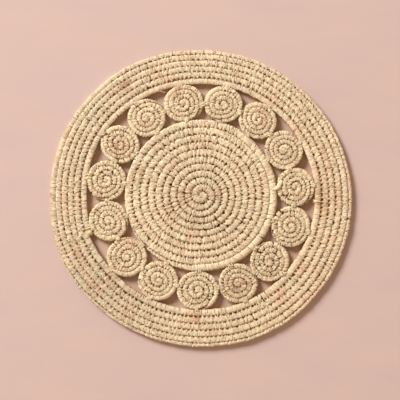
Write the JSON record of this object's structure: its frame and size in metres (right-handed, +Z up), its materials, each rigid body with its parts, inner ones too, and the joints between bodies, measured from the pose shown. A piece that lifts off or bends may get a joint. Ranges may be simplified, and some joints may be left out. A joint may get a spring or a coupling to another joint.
{
  "type": "palm leaf placemat",
  "caption": "Round openwork table mat of coiled palm leaf: a centre disc, a ring of small coils tied round it, and a wide border coil round them all.",
  "frame": {"origin": "middle of the box of the mat, on the surface that it lies on", "axes": "+Z up out of the mat's upper face, +Y away from the diner"},
  "size_m": [0.3792, 0.372, 0.009],
  "materials": {
    "disc_leaf": "matt dried palm leaf, wound and stitched",
    "border_leaf": "matt dried palm leaf, wound and stitched",
    "small_coil_leaf": "matt dried palm leaf, finely wound and stitched"
  },
  "bodies": {
    "root": {"centre_disc": "disc_leaf", "border_ring": "border_leaf", "rosette_01": "small_coil_leaf", "rosette_02": "small_coil_leaf", "rosette_03": "small_coil_leaf", "rosette_04": "small_coil_leaf", "rosette_05": "small_coil_leaf", "rosette_06": "small_coil_leaf", "rosette_07": "small_coil_leaf", "rosette_08": "small_coil_leaf", "rosette_09": "small_coil_leaf", "rosette_10": "small_coil_leaf", "rosette_11": "small_coil_leaf", "rosette_12": "small_coil_leaf", "rosette_13": "small_coil_leaf", "rosette_14": "small_coil_leaf", "rosette_15": "small_coil_leaf"}
  },
  "joints": []
}
